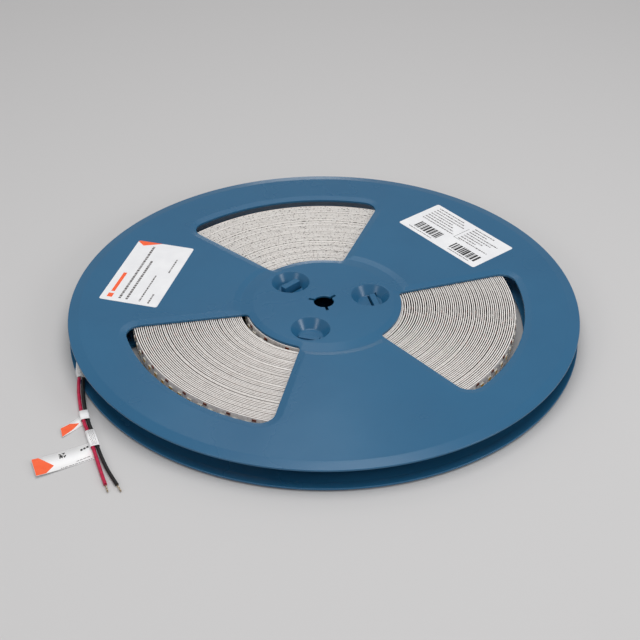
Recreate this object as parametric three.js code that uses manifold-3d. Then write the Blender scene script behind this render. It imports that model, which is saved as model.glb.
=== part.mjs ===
// LED strip light reel: thirty metres of strip wound on a moulded plastic reel, with the feed
// leads hanging out of its rim. Millimetres, +Z up, origin at the reel's centre on the surface
// that it lies on.
import * as THREE from 'three';
import { mergeGeometries, mergeVertices } from 'three/addons/utils/BufferGeometryUtils.js';
import Module from 'manifold-3d';

const wasm = await Module();
wasm.setup();

// Reel moulding
const flangeRadius = 165;
const panelWall = 1.6;
const panelGap = 14.2;
const rimWall = 1.3;
const rimBorder = 6.8;
const rimDrop = 1.2;
const grooveOuterRadius = 58.5;
const grooveRadius = 54;
const hubDiscRadius = 46;
const grooveDrop = 0.9;
const barrelRadius = 50;
const barrelWall = 1.6;
const barrelJointGap = 0.3;
const flangeFacets = 64;
const cutMargin = 1;

// Arbor hole with its three key slots
const arborRadius = 6.5;
const keySlotReach = 10.3;
const keySlotWidth = 2;
const keySlotAngle = 43.8;

// Windows in each flange
const windowCount = 3;
const windowOuterRadius = 130;
const windowBorder = 4.5;
const windowBorderDrop = 0.9;
const windowHalfAngle = 33.9;
const windowSideShift = 4.2;
const windowOuterFillet = 11;
const windowInnerFillet = 3;
const windowCurveSteps = 4;
const windowAngle = 104.4;

// Latch cups in the upper hub disc, and the tongues of the lower flange that stand in them
const cupCircleRadius = 31.4;
const cupAngle = 14.6;
const cupTopRadius = 12.5;
const cupFloorRadius = 8;
const cupDepth = 6.5;
const cupFacets = 20;
const tongueLength = 13.6;
const tongueWidth = 5;
const tongueClearance = 0.6;
const lowTongueOffset = 3.4;
const lowTongueDepth = 4.3;
const tallTongueDepth = 1;

// Wound strip
const stripWidth = 10;
const stripThickness = 1.2;
const stripClearance = 0.3;
const coilOuterRadius = 124.8;
const coilTurns = 22;
const coilFacets = 40;
const turnRidge = 1.2;
const coilEndAngle = 160;
const tailStraight = 75;
const tailInset = 3.24;
const tailEndAngle = 198.94;
const tailDrop = 1.4;

// Feed leads: wire size and the middle line that the pair follows from the strip's end, as
// [x, y, height above the table, half of the pair's spread]
const wireDiameter = 2.2;
const wireStep = 5;
const leadRoute = [
  [3.35, -14.8, 5.6, 1.3],
  [3.45, -18.5, 4.6, 1.3],
  [3.85, -22.3, 3.8, 1.3],
  [4.3, -25.8, 2.7, 1.32],
  [5.1, -29.9, 2.1, 1.34],
  [6.3, -35.5, 1.8, 1.34],
  [7.7, -41.5, 1.75, 1.35],
  [9.4, -47.5, 1.75, 1.35],
  [11.3, -53.6, 1.75, 1.36],
  [13.9, -60.4, 1.75, 1.36],
  [16.5, -67.8, 1.75, 1.36],
  [19.15, -75.2, 1.75, 1.37],
  [22.85, -85.4, 1.75, 1.6],
  [27.1, -96, 1.16, 2.2],
  [32.5, -108.1, 1.16, 3.3],
];
const tipDiameter = 1;
const tipLength = 6;
const wireGap = 0.3;

// Heat-shrink sleeve over the soldered end of the strip
const sleeveWall = 0.3;
const sleeveEndHalf = [2.7, 1.4];
const sleeveRoute = [[0, 8.2], [0.4, 8], [1.7, 6.8], [3.35, 5.6]];

// Paper flags folded round the leads: the distance from the sleeve, the band's width, the
// flag's reach, how far the flag is set along the leads and how it slants, and its curl
const paperThickness = 0.3;
const flagThickness = 0.4;
const wrapClearance = 0.3;
const bandCorner = 0.9;
const flagSteps = 7;
const shortTag = { along: 33.6, width: 8.4, reach: 15.5, shift: 0.6, slant: 0.67, curl: 0.8 };
const longTag = { along: 56.4, width: 15, reach: 37.5, shift: 8, slant: 0.17, curl: 1.8 };

// Paper stickers on the upper flange
const stickerThickness = 0.2;
const stickerCorner = 1.5;
const stickerInset = 36;
const productSticker = { size: [73, 40], angle: 164.6, skew: 0.1 };
const barcodeSticker = { size: [75, 38], angle: 41.8, skew: -2.4 };

// Levels that follow from the sizes above
const reelHeight = 2 * panelWall + panelGap;
const rimLineRadius = flangeRadius - rimBorder;
const lipLevel = panelWall + grooveDrop;
const coilTop = reelHeight - lipLevel - stripClearance;
const coilBase = coilTop - stripWidth;
const coilInnerRadius = barrelRadius + stripClearance;
const turnPitch = (coilOuterRadius - coilInnerRadius) / (coilTurns + 1);
const windowInnerRadius = hubDiscRadius + windowBorder;

const rad = THREE.MathUtils.degToRad;
const tailEnd = polar(flangeRadius - tailInset, tailEndAngle);

const finish = {
  reel: new THREE.MeshStandardMaterial({ color: 0x46708f, roughness: 0.45, metalness: 0 }),
  strip: new THREE.MeshStandardMaterial({ color: 0xd8d2ca, roughness: 0.7, metalness: 0 }),
  sleeve: new THREE.MeshStandardMaterial({ color: 0xe8e8e4, roughness: 0.35, metalness: 0 }),
  red: new THREE.MeshStandardMaterial({ color: 0xb02048, roughness: 0.5, metalness: 0 }),
  black: new THREE.MeshStandardMaterial({ color: 0x18181a, roughness: 0.5, metalness: 0 }),
  tinned: new THREE.MeshStandardMaterial({ color: 0xc8c4b8, roughness: 0.3, metalness: 1 }),
  paper: new THREE.MeshStandardMaterial({ color: 0xf2f2f2, roughness: 0.6, metalness: 0 }),
};

// A closed mesh as a solid that can be joined and cut
function solid(geometry) {
  const bare = geometry.clone();
  bare.deleteAttribute('normal');
  bare.deleteAttribute('uv');
  const merged = mergeVertices(bare, 1e-4);
  return new wasm.Manifold(new wasm.Mesh({
    numProp: 3,
    vertProperties: new Float32Array(merged.attributes.position.array),
    triVerts: new Uint32Array(merged.index.array),
  }));
}

// A solid as a mesh again
function skin(body) {
  const mesh = body.getMesh();
  const geometry = new THREE.BufferGeometry();
  geometry.setAttribute('position', new THREE.BufferAttribute(mesh.vertProperties, 3));
  geometry.setIndex(new THREE.BufferAttribute(mesh.triVerts, 1));
  return geometry;
}

// Turns every face of a mesh round
function flipFaces(geometry) {
  const index = geometry.index.array;
  for (let i = 0; i < index.length; i += 3) {
    [index[i], index[i + 1]] = [index[i + 1], index[i]];
  }
  return geometry;
}

// A ring turned about Z from its section, given as [radius, height] points that run round it
function revolve(section, facets) {
  const outline = [...section, section[0]].map(([r, z]) => new THREE.Vector2(r, z));
  return new THREE.LatheGeometry(outline, facets).rotateX(Math.PI / 2).rotateZ(Math.PI / 2);
}

// A frustum on the Z axis between two levels
function frustum(lowRadius, highRadius, low, high, facets) {
  const body = new THREE.CylinderGeometry(highRadius, lowRadius, high - low, facets);
  return body.rotateX(Math.PI / 2).translate(0, 0, (low + high) / 2);
}

// A block on a ray from the reel's axis, between two levels
function radialBlock(radius, length, width, low, high, angle) {
  const block = new THREE.BoxGeometry(length, width, high - low);
  return block.translate(radius, 0, (low + high) / 2).rotateZ(rad(angle));
}

function polar(radius, degrees) {
  return [radius * Math.cos(rad(degrees)), radius * Math.sin(rad(degrees))];
}

// One window's outline: two arcs about the reel's axis, straight sides and round corners
function windowOutline(middle) {
  const halfAngle = (r) => windowHalfAngle - THREE.MathUtils.radToDeg(Math.asin(windowSideShift / r));
  const outer = windowOuterRadius;
  const inner = windowInnerRadius;
  const outerTrim = THREE.MathUtils.radToDeg(windowOuterFillet / outer);
  const innerTrim = THREE.MathUtils.radToDeg(windowInnerFillet / inner);
  const outline = new THREE.Shape();
  const corner = (at, to) => outline.quadraticCurveTo(...polar(...at), ...polar(...to));
  const at = (r, side, trim = 0) => [r, middle + side * (halfAngle(r) - trim)];
  outline.moveTo(...polar(...at(inner + windowInnerFillet, -1)));
  outline.lineTo(...polar(...at(outer - windowOuterFillet, -1)));
  corner(at(outer, -1), at(outer, -1, outerTrim));
  const arcFrom = at(outer, -1, outerTrim)[1];
  const arcTo = at(outer, 1, outerTrim)[1];
  outline.absarc(0, 0, outer, rad(arcFrom), rad(arcTo), false);
  corner(at(outer, 1), at(outer - windowOuterFillet, 1));
  outline.lineTo(...polar(...at(inner + windowInnerFillet, 1)));
  corner(at(inner, 1), at(inner, 1, innerTrim));
  const backFrom = at(inner, 1, innerTrim)[1];
  const backTo = at(inner, -1, innerTrim)[1];
  outline.absarc(0, 0, inner, rad(backFrom), rad(backTo), true);
  corner(at(inner, -1), at(inner + windowInnerFillet, -1));
  return outline;
}

// The flange as moulded, outer face down at height 0: rim, panel, groove, hub disc and the
// half of the barrel that meets its mate at mid height
function flangePlate() {
  const barrelTop = reelHeight / 2 - barrelJointGap / 2;
  const barrelFoot = panelWall + grooveDrop * (barrelRadius - hubDiscRadius)
    / (grooveRadius - hubDiscRadius);
  return revolve([
    [arborRadius, 0],
    [hubDiscRadius, 0],
    [grooveRadius, grooveDrop],
    [grooveOuterRadius, 0],
    [rimLineRadius, 0],
    [flangeRadius, rimDrop],
    [flangeRadius, rimDrop + rimWall],
    [rimLineRadius, panelWall],
    [grooveOuterRadius, panelWall],
    [grooveRadius, lipLevel],
    [barrelRadius, barrelFoot],
    [barrelRadius, barrelTop],
    [barrelRadius - barrelWall, barrelTop],
    [barrelRadius - barrelWall, panelWall],
    [arborRadius, panelWall],
  ], flangeFacets);
}

// Cuts the windows: the border round each one slopes inwards and keeps the wall's thickness
function cutWindows(plate) {
  const slab = 0.5;
  let flange = plate;
  for (let i = 0; i < windowCount; i += 1) {
    const outline = windowOutline(windowAngle + i * 360 / windowCount);
    const border = solid(new THREE.ExtrudeGeometry(outline, {
      depth: slab,
      bevelThickness: windowBorderDrop,
      bevelSize: windowBorder,
      bevelSegments: 1,
      curveSegments: windowCurveSteps,
    }).translate(0, 0, -slab));
    const through = solid(new THREE.ExtrudeGeometry(outline, {
      depth: reelHeight / 2,
      bevelEnabled: false,
      curveSegments: windowCurveSteps,
    }).translate(0, 0, -cutMargin));
    flange = flange.add(border.translate([0, 0, panelWall]));
    flange = flange.subtract(border).subtract(through);
  }
  return flange;
}

function cutKeySlots(flange) {
  let body = flange;
  for (let i = 0; i < 3; i += 1) {
    const slot = radialBlock(keySlotReach / 2, keySlotReach, keySlotWidth, -cutMargin,
      panelWall + cutMargin, keySlotAngle + i * 120);
    body = body.subtract(solid(slot));
  }
  return body;
}

// The tongue that stands in the second cup is the tall one
function tongueShape(i) {
  const tall = i === 1;
  return {
    radius: cupCircleRadius + (tall ? 0 : lowTongueOffset),
    depth: tall ? tallTongueDepth : lowTongueDepth,
    angle: cupAngle + i * 120,
  };
}

// Conical cups with a slot through each floor
function addCups(flange) {
  const slope = (cupTopRadius - cupFloorRadius) / cupDepth;
  const mouth = 0.5;
  let body = flange;
  for (let i = 0; i < 3; i += 1) {
    const [x, y] = polar(cupCircleRadius, cupAngle + i * 120);
    const outside = frustum(cupTopRadius + panelWall, cupFloorRadius + panelWall, 0,
      cupDepth + panelWall, cupFacets);
    const inside = frustum(cupTopRadius + slope * mouth, cupFloorRadius, -mouth, cupDepth,
      cupFacets);
    const tongue = tongueShape(i);
    const slot = radialBlock(tongue.radius, tongueWidth + 2 * tongueClearance,
      tongueLength + 2 * tongueClearance, lowTongueDepth, reelHeight / 2, tongue.angle);
    body = body.add(solid(outside.translate(x, y, 0)));
    body = body.subtract(solid(inside.translate(x, y, 0))).subtract(solid(slot));
  }
  return body;
}

function addTongues(flange) {
  let body = flange;
  for (let i = 0; i < 3; i += 1) {
    const { radius, depth, angle } = tongueShape(i);
    const tongue = radialBlock(radius, tongueWidth, tongueLength, panelWall / 2,
      reelHeight - depth, angle);
    body = body.add(solid(tongue));
  }
  return body;
}

// One turn after another: a section with a ridge for each turn, revolved while its radius grows
// by one pitch a turn, and closed by a face at the inner and the outer end of the spiral. The
// section is given as [half pitches, height] points.
function woundTurns() {
  const ridges = (level, valley, from, count) => {
    const points = [[from, valley]];
    for (let half = from; half < from + 2 * count; half += 2) {
      points.push([half + 1, level], [half + 2, valley]);
    }
    return points;
  };
  const section = (from, count) => [
    ...ridges(coilBase, coilBase + turnRidge, from, count),
    ...ridges(coilTop, coilTop - turnRidge, from, count).reverse(),
  ];
  const radius = (half, step) => coilInnerRadius + (half / 2 + step / coilFacets) * turnPitch;
  const endFace = (from) => {
    const outline = section(from, 1).map(([half, z]) => new THREE.Vector2(radius(half, 0), z));
    return new THREE.ShapeGeometry(new THREE.Shape(outline)).rotateX(Math.PI / 2);
  };
  const turns = section(0, coilTurns);
  const spiral = revolve(turns, coilFacets);
  const place = spiral.attributes.position;
  for (let i = 0; i < place.count; i += 1) {
    const column = turns.length + 1;
    const step = Math.floor(i / column);
    const [half] = turns[(i % column) % turns.length];
    place.setXY(i, ...polar(radius(half, step), 360 * (step % coilFacets) / coilFacets));
  }
  const innerEnd = endFace(0);
  const outerEnd = flipFaces(endFace(2 * coilTurns));
  return mergeGeometries([spiral, innerEnd, outerEnd]).rotateZ(rad(coilEndAngle));
}

// The loose end of the strip: it leaves the outermost turn along its tangent, bends a little
// towards the rim and sags under the leads' weight
function stripTail() {
  const lap = 4;
  const points = 8;
  const start = new THREE.Vector2(...polar(coilOuterRadius - stripThickness / 2, coilEndAngle));
  const along = new THREE.Vector2(...polar(1, coilEndAngle + 90));
  const bend = start.clone().addScaledVector(along, tailStraight);
  const middle = new THREE.QuadraticBezierCurve(start, bend, new THREE.Vector2(...tailEnd));
  const edge = (side) => {
    const at = (u) => {
      const tangent = middle.getTangent(u);
      const across = new THREE.Vector2(tangent.y, -tangent.x);
      return middle.getPoint(u).addScaledVector(across, side * stripThickness / 2);
    };
    const line = Array.from({ length: points + 1 }, (_, i) => at(i / points));
    return [line[0].clone().addScaledVector(along, -lap), ...line];
  };
  const outline = new THREE.Shape([...edge(-1), ...edge(1).reverse()]);
  const tail = new THREE.ExtrudeGeometry(outline, { depth: stripWidth, bevelEnabled: false });
  const place = tail.attributes.position;
  for (let i = 0; i < place.count; i += 1) {
    const share = (start.y - place.getY(i)) / (start.y - tailEnd[1]);
    place.setZ(i, place.getZ(i) + coilBase - tailDrop * Math.max(share, 0));
  }
  return tail;
}

// The sleeve: flat and tall over the strip, wide and low over the pair of leads
function sleeveShape() {
  const ySpan = [-stripClearance, leadRoute[0][1] + wireGap];
  const middle = new THREE.CatmullRomCurve3(sleeveRoute.map(([x, z], i) => new THREE.Vector3(
    tailEnd[0] + x,
    tailEnd[1] + THREE.MathUtils.lerp(...ySpan, i / (sleeveRoute.length - 1)),
    z,
  )));
  const startHalf = [stripThickness / 2 + sleeveWall, stripWidth / 2 + sleeveWall];
  const tube = new THREE.CylinderGeometry(1, 1, 1, 12, 8);
  const place = tube.attributes.position;
  for (let i = 0; i < place.count; i += 1) {
    const u = 0.5 - place.getY(i);
    const blend = THREE.MathUtils.smoothstep(u, 0.1, 0.8);
    const centre = middle.getPoint(u);
    const half = startHalf.map((s, k) => THREE.MathUtils.lerp(s, sleeveEndHalf[k], blend));
    place.setXYZ(i, centre.x + place.getX(i) * half[0], centre.y,
      centre.z + place.getZ(i) * half[1]);
  }
  return tube;
}

// A round tube along a curve
function tube(route, diameter) {
  const section = new THREE.Shape().absarc(0, 0, diameter / 2, 0, 2 * Math.PI, false);
  return new THREE.ExtrudeGeometry(section, {
    extrudePath: route,
    steps: Math.round(route.getLength() / wireStep),
    curveSegments: 4,
    bevelEnabled: false,
  });
}

// One lead of the pair, on side -1 or 1 of the middle line
function leadCurve(side) {
  return new THREE.CatmullRomCurve3(leadRoute.map(([x, y, z, spread]) => new THREE.Vector3(
    tailEnd[0] + x + side * spread, tailEnd[1] + y, z,
  )));
}

// The tinned end of a lead
function tinnedTip(lead) {
  const heading = lead.getTangentAt(1).setZ(0).normalize();
  const tip = new THREE.CylinderGeometry(tipDiameter / 2, tipDiameter / 2, tipLength, 8);
  tip.translate(0, tipLength / 2 + wireGap, 0);
  const turn = new THREE.Quaternion().setFromUnitVectors(new THREE.Vector3(0, 1, 0), heading);
  return tip.applyQuaternion(turn).translate(...lead.getPointAt(1).toArray());
}

// A rectangle with cut corners about the origin, from half sizes
function cutRectangle(halfX, halfY, cut) {
  return [
    [halfX, -halfY + cut], [halfX, halfY - cut], [halfX - cut, halfY], [-halfX + cut, halfY],
    [-halfX, halfY - cut], [-halfX, -halfY + cut], [-halfX + cut, -halfY], [halfX - cut, -halfY],
  ].map(([x, y]) => new THREE.Vector2(x, y));
}

// A paper flag: a band folded round both leads on a slant, its two ends stuck together as a flat
// tail that runs out from under them and curls up a little. X points away from the leads, Y up.
function paperFlag({ width, reach, shift, slant, curl }) {
  const pairHalf = leadRoute[0][3] + wireDiameter / 2;
  const hole = [pairHalf + wrapClearance, wireDiameter / 2 + wrapClearance];
  const [outX, outY] = hole.map((half) => half + paperThickness);
  const outline = new THREE.Shape(cutRectangle(outX, outY, bandCorner));
  outline.holes.push(new THREE.Path(cutRectangle(...hole, bandCorner - paperThickness)));
  const band = new THREE.ExtrudeGeometry(outline, { depth: width, bevelEnabled: false });
  const root = bandCorner - outX;
  const tail = new THREE.BoxGeometry(reach - root, flagThickness, width, flagSteps);
  tail.translate((root + reach) / 2, flagThickness / 2 - outY, 0);
  const place = tail.attributes.position;
  for (let i = 0; i < place.count; i += 1) {
    const away = Math.max(place.getX(i) - outX, 0);
    place.setY(i, place.getY(i) + curl * (away / (reach - outX)) ** 2);
    place.setZ(i, place.getZ(i) - shift - slant * place.getX(i));
  }
  return skin(solid(band.translate(0, 0, -width / 2)).add(solid(tail)));
}

// Sets a flag on the leads at its distance from the sleeve
function seatOnLeads(mesh, along) {
  const pair = leadCurve(0);
  const u = along / pair.getLength();
  const forward = pair.getTangentAt(u).setZ(0).normalize();
  const up = new THREE.Vector3(0, 0, 1);
  const away = forward.clone().cross(up);
  mesh.quaternion.setFromRotationMatrix(
    new THREE.Matrix4().makeBasis(away, up, forward.clone().negate()),
  );
  mesh.position.copy(pair.getPointAt(u));
  return mesh;
}

// A sticker with round corners, lying flat with its long side along X
function sticker([length, height]) {
  const x = length / 2;
  const y = height / 2;
  const r = stickerCorner;
  const outline = new THREE.Shape();
  outline.absarc(x - r, -y + r, r, -Math.PI / 2, 0, false);
  outline.absarc(x - r, y - r, r, 0, Math.PI / 2, false);
  outline.absarc(-x + r, y - r, r, Math.PI / 2, Math.PI, false);
  outline.absarc(-x + r, -y + r, r, Math.PI, 1.5 * Math.PI, false);
  return new THREE.ExtrudeGeometry(outline, {
    depth: stickerThickness,
    curveSegments: 2,
    bevelEnabled: false,
  });
}

const reel = new THREE.Group();

function part(name, geometry, material) {
  const mesh = new THREE.Mesh(geometry, material);
  mesh.name = name;
  reel.add(mesh);
  return mesh;
}

// The reel: the lower flange carries the tongues, the upper one is turned over onto it
const moulding = cutKeySlots(cutWindows(solid(flangePlate())));
part('bottom_flange', skin(addTongues(moulding)), finish.reel);
const upper = flipFaces(skin(addCups(moulding)).scale(1, 1, -1));
part('top_flange', upper, finish.reel).position.z = reelHeight;

// The winding and the sleeve on its free end
part('led_strip_roll', skin(solid(woundTurns()).add(solid(stripTail()))), finish.strip);
part('heat_shrink_sleeve', sleeveShape(), finish.sleeve);

// The pair of leads with their tinned tips
const leads = { red: leadCurve(-1), black: leadCurve(1) };
for (const [colour, route] of Object.entries(leads)) {
  part(`${colour}_wire`, tube(route, wireDiameter), finish[colour]);
  part(`${colour}_wire_tip`, tinnedTip(route), finish.tinned);
}

seatOnLeads(part('lead_tag_short', paperFlag(shortTag), finish.paper), shortTag.along);
seatOnLeads(part('lead_tag_long', paperFlag(longTag), finish.paper), longTag.along);

for (const [name, label] of Object.entries({ productSticker, barcodeSticker })) {
  const mesh = part(name.replace('Sticker', '_sticker'), sticker(label.size), finish.paper);
  mesh.rotation.z = rad(label.angle - 90 + label.skew);
  mesh.position.set(...polar(rimLineRadius - stickerInset, label.angle), reelHeight);
}

export default reel;
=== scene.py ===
import math
import random

import bmesh
import bpy
from mathutils import Matrix, Vector
from mathutils.geometry import interpolate_bezier


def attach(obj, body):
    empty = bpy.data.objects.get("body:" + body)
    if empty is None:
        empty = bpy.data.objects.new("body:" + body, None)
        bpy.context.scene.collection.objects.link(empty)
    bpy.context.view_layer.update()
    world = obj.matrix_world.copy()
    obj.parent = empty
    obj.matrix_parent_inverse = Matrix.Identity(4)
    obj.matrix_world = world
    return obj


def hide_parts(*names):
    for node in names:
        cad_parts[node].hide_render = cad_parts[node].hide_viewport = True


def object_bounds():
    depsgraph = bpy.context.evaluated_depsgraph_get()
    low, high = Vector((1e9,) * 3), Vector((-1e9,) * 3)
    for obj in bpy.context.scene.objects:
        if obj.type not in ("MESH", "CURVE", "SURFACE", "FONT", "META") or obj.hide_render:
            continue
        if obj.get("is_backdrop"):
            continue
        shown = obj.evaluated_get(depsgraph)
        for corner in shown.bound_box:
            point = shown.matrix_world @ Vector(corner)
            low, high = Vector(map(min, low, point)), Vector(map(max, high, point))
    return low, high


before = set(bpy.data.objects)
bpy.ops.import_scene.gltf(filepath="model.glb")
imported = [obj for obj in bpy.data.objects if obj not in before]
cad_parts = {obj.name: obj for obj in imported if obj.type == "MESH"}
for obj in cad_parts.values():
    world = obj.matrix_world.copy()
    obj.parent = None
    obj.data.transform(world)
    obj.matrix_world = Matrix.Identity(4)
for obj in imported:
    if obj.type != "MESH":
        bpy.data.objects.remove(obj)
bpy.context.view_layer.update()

# The table top that the reel lies on, seen from the front and from above at about 35 degrees.
# It is one pale matt sheet in a white room. A large soft box hangs overhead, two weak ones
# behind give the far edges their gloss, and one stands at each side of the camera.
camera_lens = 83.43
sensor_width = 36
camera_distance = 0.96491
camera_pitch = math.radians(34.678)
camera_centre = Vector((0, 0, 0.0162))
camera_aim = [(0.14506, "Y"), (-0.66502, "X"), (0.201, "Z")]
table_size = 12.0
table_colour = (0.60, 0.597, 0.60, 1)
table_roughness = 0.9
room_colour = (0.60, 0.59, 0.585, 1)
room_light = 0.62
# Each box: its name, its place, its side and its power.
softboxes = [
    ("overhead_box", (0.06, -0.08, 1.08), 1.0, 7.4),
    ("back_box", (-0.10, 1.07, 1.19), 0.34, 0.45),
    ("horizon_box", (-0.05, 1.50, 0.22), 0.22, 0.3),
    ("left_box", (-0.75, -0.85, 0.68), 0.35, 1.4),
    ("right_box", (1.08, -0.56, 0.60), 0.40, 2.9),
]


def add_node(tree, kind, sockets=(), **settings):
    """One shader node with its settings, and a value or a link for each named socket."""
    node = tree.nodes.new(kind)
    for name, value in settings.items():
        setattr(node, name, value)
    for name, value in dict(sockets).items():
        if isinstance(value, bpy.types.NodeSocket):
            tree.links.new(value, node.inputs[name])
        else:
            node.inputs[name].default_value = value
    return node


def finish_of(name, **sockets):
    """A new material with its Principled shader set."""
    material = bpy.data.materials.new(name)
    material.use_nodes = True
    shader = material.node_tree.nodes["Principled BSDF"]
    for socket, value in sockets.items():
        shader.inputs[socket.replace("_", " ")].default_value = value
    return material, material.node_tree, shader


scene = bpy.context.scene
scene.view_settings.view_transform = "Standard"

camera = bpy.data.objects.new("camera", bpy.data.cameras.new("camera"))
camera.data.lens = camera_lens
camera.data.sensor_width = sensor_width
camera_back = Vector((0, -math.cos(camera_pitch), math.sin(camera_pitch)))
camera.location = camera_centre + camera_distance * camera_back
camera_turn = Matrix.Rotation(math.radians(90) - camera_pitch, 4, "X")
for degrees, axis in camera_aim:
    camera_turn = camera_turn @ Matrix.Rotation(math.radians(degrees), 4, axis)
camera.rotation_euler = camera_turn.to_euler()
scene.collection.objects.link(camera)
scene.camera = camera

for name, place, size, power in softboxes:
    lamp = bpy.data.objects.new(name, bpy.data.lights.new(name, "AREA"))
    lamp.data.size = size
    lamp.data.energy = power
    lamp.location = place
    lamp.rotation_euler = (-Vector(place)).to_track_quat("-Z", "Y").to_euler()
    scene.collection.objects.link(lamp)

room = bpy.data.worlds.new("room")
room.use_nodes = True
room_shade = room.node_tree.nodes["Background"]
room_shade.inputs["Color"].default_value = room_colour
room_shade.inputs["Strength"].default_value = room_light
scene.world = room

table_shape = bmesh.new()
bmesh.ops.create_grid(table_shape, x_segments=1, y_segments=1, size=table_size / 2)
table_mesh = bpy.data.meshes.new("table_top")
table_shape.to_mesh(table_mesh)
table_shape.free()
table_top = bpy.data.objects.new("table_top", table_mesh)
table_finish, _, _ = finish_of(
    "matt_sheet", Base_Color=table_colour, Roughness=table_roughness)
table_mesh.materials.append(table_finish)
scene.collection.objects.link(table_top)
table_top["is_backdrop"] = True


# The feed leads: a red and a black PVC wire, soldered to the end of the strip. They hang out of
# the sleeve, run side by side over the table and part a little before their stripped ends.
wire_diameter = 0.0022
# Each point: the middle between the two wires, and how far each lies to its side.
lead_route = [
    (-0.14965, -0.0673, 0.0056, 0.0013),
    (-0.14955, -0.0710, 0.0046, 0.0013),
    (-0.14915, -0.0748, 0.0038, 0.0013),
    (-0.1487, -0.0783, 0.0027, 0.00132),
    (-0.1479, -0.0824, 0.0021, 0.00134),
    (-0.1467, -0.0880, 0.0018, 0.00134),
    (-0.1453, -0.0940, 0.00175, 0.00135),
    (-0.1436, -0.1000, 0.00175, 0.00135),
    (-0.1417, -0.1061, 0.00175, 0.00136),
    (-0.1391, -0.1129, 0.00175, 0.00136),
    (-0.1365, -0.1203, 0.00175, 0.00136),
    (-0.13385, -0.1277, 0.00175, 0.00137),
    (-0.13015, -0.1379, 0.00175, 0.0016),
    (-0.1259, -0.1485, 0.00116, 0.0022),
    (-0.1205, -0.1606, 0.00116, 0.0033),
]
tip_length = 0.006
tip_diameter = 0.001
tip_gap = 0.0003
tip_steps = 10
strand_count = 6
strand_overlap = 1.05
strand_twist = math.radians(40)


def srgb(red, green, blue):
    """A colour written as a screen shows it, as a linear colour."""
    def linear(value):
        value /= 255
        return value / 12.92 if value <= 0.04045 else ((value + 0.055) / 1.055) ** 2.4
    return (linear(red), linear(green), linear(blue), 1)


def mesh_piece(name, shape, *materials):
    """The finished bmesh as an object at the origin."""
    mesh = bpy.data.meshes.new(name)
    shape.to_mesh(mesh)
    shape.free()
    for material in materials:
        mesh.materials.append(material)
    piece = bpy.data.objects.new(name, mesh)
    scene.collection.objects.link(piece)
    return piece


def ride_on_reel(piece, slot, *nodes):
    """A piece rides on the reel's one body and stands for these solids."""
    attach(piece, "root")
    if nodes:
        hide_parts(*nodes)
    return piece


def uneven_surface():
    """The group that every finish shares: slow changes of tone, and fine grain for a bump."""
    group = bpy.data.node_groups.new("uneven_surface", "ShaderNodeTree")
    for socket in ("Scale", "Grain"):
        group.interface.new_socket(socket, in_out="INPUT", socket_type="NodeSocketFloat")
    for socket in ("Tone", "Height"):
        group.interface.new_socket(socket, in_out="OUTPUT", socket_type="NodeSocketFloat")
    given = add_node(group, "NodeGroupInput")
    place = add_node(group, "ShaderNodeTexCoord")
    slow = add_node(group, "ShaderNodeTexNoise", {
        "Vector": place.outputs["Object"],
        "Scale": given.outputs["Scale"],
        "Detail": 4,
    })
    tone = add_node(group, "ShaderNodeMapRange", {
        "Value": slow.outputs["Fac"],
        "From Min": 0.3,
        "From Max": 0.7,
    })
    fine = add_node(group, "ShaderNodeTexNoise", {
        "Vector": place.outputs["Object"],
        "Scale": given.outputs["Grain"],
        "Detail": 3,
    })
    add_node(group, "NodeGroupOutput", {
        "Tone": tone.outputs["Result"],
        "Height": fine.outputs["Fac"],
    })
    return group


surface_group = uneven_surface()


def toned_finish(name, light, dark, scale, grain, bump, roughness, spread=0.1, **sockets):
    """A finish that drifts between two tones, with a fine bump and uneven gloss."""
    material, tree, shader = finish_of(name, **sockets)
    surface = add_node(tree, "ShaderNodeGroup", node_tree=surface_group)
    surface.inputs["Scale"].default_value = scale
    surface.inputs["Grain"].default_value = grain
    colour = add_node(tree, "ShaderNodeMix", {
        "Factor": surface.outputs["Tone"],
        "A": dark,
        "B": light,
    }, data_type="RGBA")
    gloss = add_node(tree, "ShaderNodeMapRange", {
        "Value": surface.outputs["Tone"],
        "To Min": roughness + spread / 2,
        "To Max": roughness - spread / 2,
    })
    relief = add_node(tree, "ShaderNodeBump", {
        "Height": surface.outputs["Height"],
        "Strength": 1,
        "Distance": bump,
    })
    tree.links.new(colour.outputs["Result"], shader.inputs["Base Color"])
    tree.links.new(gloss.outputs["Result"], shader.inputs["Roughness"])
    tree.links.new(relief.outputs["Normal"], shader.inputs["Normal"])
    return material


def lead_points(side):
    """One wire's route: side -1 is the left wire, 1 the right one and 0 the middle line."""
    return [Vector((x + side * spread, y, z)) for x, y, z, spread in lead_route]


def lead_curve(name, points, finish):
    """A wire as a round curve through its points."""
    curve = bpy.data.curves.new(name, "CURVE")
    curve.dimensions = "3D"
    curve.bevel_depth = wire_diameter / 2
    curve.bevel_resolution = 6
    curve.resolution_u = 8
    curve.use_fill_caps = True
    spline = curve.splines.new("BEZIER")
    spline.bezier_points.add(len(points) - 1)
    for knot, point in zip(spline.bezier_points, points):
        knot.co = point
        knot.handle_left_type = knot.handle_right_type = "AUTO"
    curve.materials.append(finish)
    wire = bpy.data.objects.new(name, curve)
    scene.collection.objects.link(wire)
    return wire


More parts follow.
